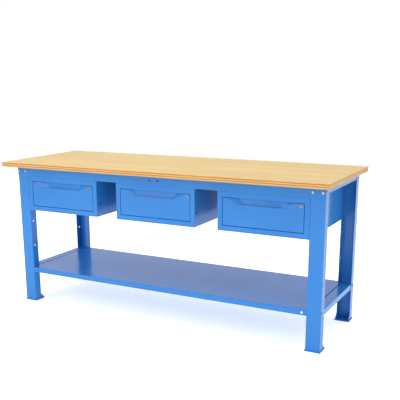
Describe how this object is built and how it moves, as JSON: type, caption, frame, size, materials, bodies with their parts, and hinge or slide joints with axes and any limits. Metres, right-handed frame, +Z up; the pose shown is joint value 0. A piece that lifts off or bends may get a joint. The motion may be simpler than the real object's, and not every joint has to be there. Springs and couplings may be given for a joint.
{
  "type": "workbench with drawers",
  "caption": "Steel workbench with a thick plywood top, folded C-channel legs, a lower shelf and lockable drawers on telescopic runners under the top.",
  "frame": {"origin": "on the floor, under the middle of the worktop", "axes": "+X along the bench's length to the user's right, +Y from the user to the back, +Z up; the drawers open towards -Y"},
  "size_m": [2, 0.706, 0.876],
  "materials": {
    "plywood": "varnished beech plywood with visible layers at the edges",
    "blue_paint": "semi-gloss light blue powder coat",
    "tray_paint": "semi-gloss light blue powder coat",
    "zinc_plated_steel": "bright zinc plating",
    "runner_steel": "zinc-plated rolled strip",
    "glide_plastic": "natural white nylon",
    "lock_chrome": "polished chrome plating"
  },
  "bodies": {
    "frame": {"worktop": "plywood", "leg_front_left": "blue_paint", "foot_front_left": "blue_paint", "leg_front_right": "blue_paint", "foot_front_right": "blue_paint", "leg_rear_left": "blue_paint", "foot_rear_left": "blue_paint", "leg_rear_right": "blue_paint", "foot_rear_right": "blue_paint", "front_apron": "blue_paint", "rear_apron": "blue_paint", "upper_rail_left": "blue_paint", "upper_rail_right": "blue_paint", "lower_rail_left": "blue_paint", "lower_rail_right": "blue_paint", "shelf": "blue_paint", "shelf_stiffeners": "blue_paint", "frame_bolts": "zinc_plated_steel", "frame_nuts": "zinc_plated_steel", "worktop_screws": "zinc_plated_steel", "housing_screws": "zinc_plated_steel", "housing_left": "blue_paint", "outer_runners_left": "runner_steel", "housing_centre": "blue_paint", "outer_runners_centre": "runner_steel", "housing_right": "blue_paint", "outer_runners_right": "runner_steel"},
    "drawer_left": {"tray_left": "tray_paint", "drawer_front_left": "blue_paint", "inner_runners_left": "runner_steel", "inner_glides_left": "glide_plastic", "lock_barrel_left": "lock_chrome", "lock_nut_left": "zinc_plated_steel"},
    "mid_slide_left": {"mid_runners_left": "runner_steel", "mid_glides_left": "glide_plastic"},
    "lock_left": {"lock_plug_left": "lock_chrome", "lock_cam_left": "zinc_plated_steel"},
    "drawer_centre": {"tray_centre": "tray_paint", "drawer_front_centre": "blue_paint", "inner_runners_centre": "runner_steel", "inner_glides_centre": "glide_plastic", "lock_barrel_centre": "lock_chrome", "lock_nut_centre": "zinc_plated_steel"},
    "mid_slide_centre": {"mid_runners_centre": "runner_steel", "mid_glides_centre": "glide_plastic"},
    "lock_centre": {"lock_plug_centre": "lock_chrome", "lock_cam_centre": "zinc_plated_steel"},
    "drawer_right": {"tray_right": "tray_paint", "drawer_front_right": "blue_paint", "inner_runners_right": "runner_steel", "inner_glides_right": "glide_plastic", "lock_barrel_right": "lock_chrome", "lock_nut_right": "zinc_plated_steel"},
    "mid_slide_right": {"mid_runners_right": "runner_steel", "mid_glides_right": "glide_plastic"},
    "lock_right": {"lock_plug_right": "lock_chrome", "lock_cam_right": "zinc_plated_steel"}
  },
  "joints": [
    {"name": "drawer_slide_left", "type": "slide", "parent": "frame", "child": "drawer_left", "axis": [0, -1, 0], "range_m": [0, 0.45]},
    {"name": "runner_slide_left", "type": "slide", "parent": "frame", "child": "mid_slide_left", "axis": [0, -1, 0], "range_m": [0, 0.225]},
    {"name": "lock_turn_left", "type": "hinge", "parent": "drawer_left", "child": "lock_left", "pos_m": [-0.429, -0.25, 0.7405], "axis": [0, 1, 0], "range_deg": [0, 90]},
    {"name": "drawer_slide_centre", "type": "slide", "parent": "frame", "child": "drawer_centre", "axis": [0, -1, 0], "range_m": [0, 0.45]},
    {"name": "runner_slide_centre", "type": "slide", "parent": "frame", "child": "mid_slide_centre", "axis": [0, -1, 0], "range_m": [0, 0.225]},
    {"name": "lock_turn_centre", "type": "hinge", "parent": "drawer_centre", "child": "lock_centre", "pos_m": [0.203, -0.25, 0.7405], "axis": [0, 1, 0], "range_deg": [0, 90]},
    {"name": "drawer_slide_right", "type": "slide", "parent": "frame", "child": "drawer_right", "axis": [0, -1, 0], "range_m": [0, 0.45]},
    {"name": "runner_slide_right", "type": "slide", "parent": "frame", "child": "mid_slide_right", "axis": [0, -1, 0], "range_m": [0, 0.225]},
    {"name": "lock_turn_right", "type": "hinge", "parent": "drawer_right", "child": "lock_right", "pos_m": [0.835, -0.25, 0.7405], "axis": [0, 1, 0], "range_deg": [0, 90]}
  ],
  "couplings": [
    {"joint": "runner_slide_left", "follows": "drawer_slide_left", "ratio": 0.5},
    {"joint": "runner_slide_centre", "follows": "drawer_slide_centre", "ratio": 0.5},
    {"joint": "runner_slide_right", "follows": "drawer_slide_right", "ratio": 0.5}
  ]
}
